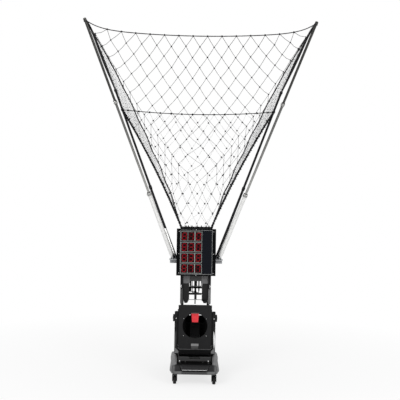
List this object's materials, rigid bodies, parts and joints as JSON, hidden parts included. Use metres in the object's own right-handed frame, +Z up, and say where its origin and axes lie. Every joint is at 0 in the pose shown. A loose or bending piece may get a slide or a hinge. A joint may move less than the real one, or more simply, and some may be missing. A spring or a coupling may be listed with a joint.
{
  "type": "basketball shooting machine",
  "caption": "Wheeled basketball return and shooting machine with a turning launch head, scoreboard mast, hopper and a raised funnel net on telescoping poles.",
  "frame": {"origin": "on the floor, under the middle of the square that the four pole tips make", "axes": "+Z up, -Y the front with the scoreboard and the ball outlet, +X the right-hand side seen from the front"},
  "size_m": [2.1048, 2.1012, 3.5451],
  "materials": {
    "black_moulding": "satin",
    "grey_moulding": "satin",
    "knob_plastic": "satin",
    "dark_frame": "satin",
    "dark_sheet": "matte",
    "grey_sheet": "satin",
    "silver_tube": "satin",
    "dark_tube": "satin",
    "axle_steel": "satin",
    "wheel_rubber": "matte",
    "flap_red": "satin",
    "display": "gloss",
    "net_cord": "matte"
  },
  "bodies": {
    "machine": {"chassis_frame": "dark_frame", "base_cover": "black_moulding", "front_cap": "black_moulding", "turntable_housing": "grey_moulding", "turntable_bearing": "dark_frame", "yaw_motor": "dark_frame", "rear_axle": "axle_steel", "power_panel": "dark_sheet", "side_frame_left": "dark_frame", "side_frame_right": "dark_frame", "upper_guard": "grey_sheet", "lower_guard": "dark_sheet", "rear_guard": "dark_sheet", "hopper": "dark_sheet", "scoreboard_case": "black_moulding", "scoreboard_face": "display", "net_arm_left": "grey_sheet", "net_arm_right": "grey_sheet", "net_front": "net_cord", "net_rear": "net_cord", "net_left": "net_cord", "net_right": "net_cord"},
    "launch_head": {"head_chassis": "dark_frame", "head_front_plate": "dark_sheet", "head_hood": "dark_sheet", "head_back": "dark_sheet", "side_cover_left": "black_moulding", "side_cover_right": "black_moulding", "ball_ramp": "dark_frame", "roller_motor_left": "dark_frame", "roller_motor_right": "dark_frame", "flap_hinge": "grey_sheet", "front_lock": "grey_sheet"},
    "outlet_flap": {"outlet_flap": "flap_red"},
    "ball_gate": {"ball_gate": "dark_frame"},
    "power_switch": {"power_switch": "black_moulding"},
    "launch_roller_left": {"launch_roller_left": "wheel_rubber"},
    "side_knob_left": {"side_knob_left": "knob_plastic"},
    "caster_fork_left": {"caster_fork_left": "dark_frame"},
    "caster_wheel_left": {"caster_wheel_left": "wheel_rubber"},
    "rear_wheel_left": {"rear_wheel_left": "wheel_rubber"},
    "clamp_knob_front_left": {"clamp_knob_front_left": "knob_plastic"},
    "clamp_knob_rear_left": {"clamp_knob_rear_left": "knob_plastic"},
    "launch_roller_right": {"launch_roller_right": "wheel_rubber"},
    "side_knob_right": {"side_knob_right": "knob_plastic"},
    "caster_fork_right": {"caster_fork_right": "dark_frame"},
    "caster_wheel_right": {"caster_wheel_right": "wheel_rubber"},
    "rear_wheel_right": {"rear_wheel_right": "wheel_rubber"},
    "clamp_knob_front_right": {"clamp_knob_front_right": "knob_plastic"},
    "clamp_knob_rear_right": {"clamp_knob_rear_right": "knob_plastic"},
    "front_pole_lower_left": {"front_pole_lower_left": "silver_tube"},
    "front_pole_middle_left": {"front_pole_middle_left": "silver_tube"},
    "front_pole_upper_left": {"front_pole_upper_left": "silver_tube"},
    "rear_pole_lower_left": {"rear_pole_lower_left": "dark_tube"},
    "rear_pole_upper_left": {"rear_pole_upper_left": "dark_tube"},
    "front_pole_lower_right": {"front_pole_lower_right": "silver_tube"},
    "front_pole_middle_right": {"front_pole_middle_right": "silver_tube"},
    "front_pole_upper_right": {"front_pole_upper_right": "silver_tube"},
    "rear_pole_lower_right": {"rear_pole_lower_right": "dark_tube"},
    "rear_pole_upper_right": {"rear_pole_upper_right": "dark_tube"}
  },
  "joints": [
    {"name": "head_yaw", "type": "hinge", "parent": "machine", "child": "launch_head", "pos_m": [0, 0.365, 0.2792], "axis": [0, 0, 1], "range_deg": [-90, 90]},
    {"name": "outlet_flap_swing", "type": "hinge", "parent": "launch_head", "child": "outlet_flap", "pos_m": [0, 0.121, 0.731], "axis": [-1, 0, 0], "range_deg": [0, 80]},
    {"name": "ball_gate_swing", "type": "hinge", "parent": "machine", "child": "ball_gate", "pos_m": [0, 0.21, 1.008], "axis": [1, 0, 0], "range_deg": [0, 60]},
    {"name": "power_switch_rock", "type": "hinge", "parent": "machine", "child": "power_switch", "pos_m": [0.045, 0.806, 0.165], "axis": [1, 0, 0], "range_deg": [-8, 8]},
    {"name": "launch_roller_left_spin", "type": "hinge", "parent": "launch_head", "child": "launch_roller_left", "pos_m": [-0.15, 0.205, 0.5995], "axis": [0, 0, 1], "continuous": true},
    {"name": "side_knob_left_turn", "type": "hinge", "parent": "launch_head", "child": "side_knob_left", "pos_m": [-0.2238, 0.24, 0.66], "axis": [1, 0, 0], "continuous": true},
    {"name": "caster_swivel_left", "type": "hinge", "parent": "machine", "child": "caster_fork_left", "pos_m": [-0.209, -0.03, 0.1117], "axis": [0, 0, 1], "continuous": true},
    {"name": "caster_wheel_left_spin", "type": "hinge", "parent": "caster_fork_left", "child": "caster_wheel_left", "pos_m": [-0.209, -0.005, 0.04445], "axis": [1, 0, 0], "continuous": true},
    {"name": "rear_wheel_left_spin", "type": "hinge", "parent": "machine", "child": "rear_wheel_left", "pos_m": [-0.249, 0.7, 0.07408], "axis": [1, 0, 0], "continuous": true},
    {"name": "clamp_knob_front_left_turn", "type": "hinge", "parent": "machine", "child": "clamp_knob_front_left", "pos_m": [-0.26, 0.22, 1.335], "axis": [0.8508, -0.5254, 0], "continuous": true},
    {"name": "clamp_knob_rear_left_turn", "type": "hinge", "parent": "machine", "child": "clamp_knob_rear_left", "pos_m": [-0.231, 0.3, 1.335], "axis": [0.6742, 0.7385, 0], "continuous": true},
    {"name": "launch_roller_right_spin", "type": "hinge", "parent": "launch_head", "child": "launch_roller_right", "pos_m": [0.15, 0.205, 0.5995], "axis": [0, 0, 1], "continuous": true},
    {"name": "side_knob_right_turn", "type": "hinge", "parent": "launch_head", "child": "side_knob_right", "pos_m": [0.2238, 0.24, 0.66], "axis": [1, 0, 0], "continuous": true},
    {"name": "caster_swivel_right", "type": "hinge", "parent": "machine", "child": "caster_fork_right", "pos_m": [0.209, -0.03, 0.1117], "axis": [0, 0, 1], "continuous": true},
    {"name": "caster_wheel_right_spin", "type": "hinge", "parent": "caster_fork_right", "child": "caster_wheel_right", "pos_m": [0.209, -0.005, 0.04445], "axis": [1, 0, 0], "continuous": true},
    {"name": "rear_wheel_right_spin", "type": "hinge", "parent": "machine", "child": "rear_wheel_right", "pos_m": [0.249, 0.7, 0.07408], "axis": [1, 0, 0], "continuous": true},
    {"name": "clamp_knob_front_right_turn", "type": "hinge", "parent": "machine", "child": "clamp_knob_front_right", "pos_m": [0.26, 0.22, 1.335], "axis": [-0.8508, -0.5254, 0], "continuous": true},
    {"name": "clamp_knob_rear_right_turn", "type": "hinge", "parent": "machine", "child": "clamp_knob_rear_right", "pos_m": [0.231, 0.3, 1.335], "axis": [-0.6742, 0.7385, 0], "continuous": true},
    {"name": "front_pole_fold_left", "type": "hinge", "parent": "machine", "child": "front_pole_lower_left", "pos_m": [-0.26, 0.22, 1.335], "axis": [-0.8508, 0.5254, 0], "range_deg": [0, 33.82], "deforming": ["net_front", "net_rear", "net_left", "net_right"]},
    {"name": "front_pole_middle_slide_left", "type": "slide", "parent": "front_pole_lower_left", "child": "front_pole_middle_left", "axis": [0.2924, 0.4735, -0.8308], "range_m": [0, 0.64]},
    {"name": "front_pole_upper_slide_left", "type": "slide", "parent": "front_pole_middle_left", "child": "front_pole_upper_left", "axis": [0.2924, 0.4735, -0.8308], "range_m": [0, 0.755]},
    {"name": "rear_pole_fold_left", "type": "hinge", "parent": "machine", "child": "rear_pole_lower_left", "pos_m": [-0.231, 0.3, 1.335], "axis": [0.6742, 0.7385, 0], "range_deg": [0, 28.39]},
    {"name": "rear_pole_upper_slide_left", "type": "slide", "parent": "rear_pole_lower_left", "child": "rear_pole_upper_left", "axis": [0.3512, -0.3206, -0.8797], "range_m": [0, 0.71]},
    {"name": "front_pole_fold_right", "type": "hinge", "parent": "machine", "child": "front_pole_lower_right", "pos_m": [0.26, 0.22, 1.335], "axis": [-0.8508, -0.5254, 0], "range_deg": [0, 33.82]},
    {"name": "front_pole_middle_slide_right", "type": "slide", "parent": "front_pole_lower_right", "child": "front_pole_middle_right", "axis": [-0.2924, 0.4735, -0.8308], "range_m": [0, 0.64]},
    {"name": "front_pole_upper_slide_right", "type": "slide", "parent": "front_pole_middle_right", "child": "front_pole_upper_right", "axis": [-0.2924, 0.4735, -0.8308], "range_m": [0, 0.755]},
    {"name": "rear_pole_fold_right", "type": "hinge", "parent": "machine", "child": "rear_pole_lower_right", "pos_m": [0.231, 0.3, 1.335], "axis": [0.6742, -0.7385, 0], "range_deg": [0, 28.39]},
    {"name": "rear_pole_upper_slide_right", "type": "slide", "parent": "rear_pole_lower_right", "child": "rear_pole_upper_right", "axis": [-0.3512, -0.3206, -0.8797], "range_m": [0, 0.71]}
  ],
  "couplings": [
    {"joint": "front_pole_middle_slide_left", "follows": "front_pole_fold_left", "m_per_rad": 1.0844},
    {"joint": "front_pole_upper_slide_left", "follows": "front_pole_fold_left", "m_per_rad": 1.2792},
    {"joint": "rear_pole_fold_left", "follows": "front_pole_fold_left", "ratio": 0.83963},
    {"joint": "rear_pole_upper_slide_left", "follows": "front_pole_fold_left", "m_per_rad": 1.203},
    {"joint": "front_pole_fold_right", "follows": "front_pole_fold_left", "ratio": 1},
    {"joint": "front_pole_middle_slide_right", "follows": "front_pole_fold_left", "m_per_rad": 1.0844},
    {"joint": "front_pole_upper_slide_right", "follows": "front_pole_fold_left", "m_per_rad": 1.2792},
    {"joint": "rear_pole_fold_right", "follows": "front_pole_fold_left", "ratio": 0.83963},
    {"joint": "rear_pole_upper_slide_right", "follows": "front_pole_fold_left", "m_per_rad": 1.203}
  ]
}
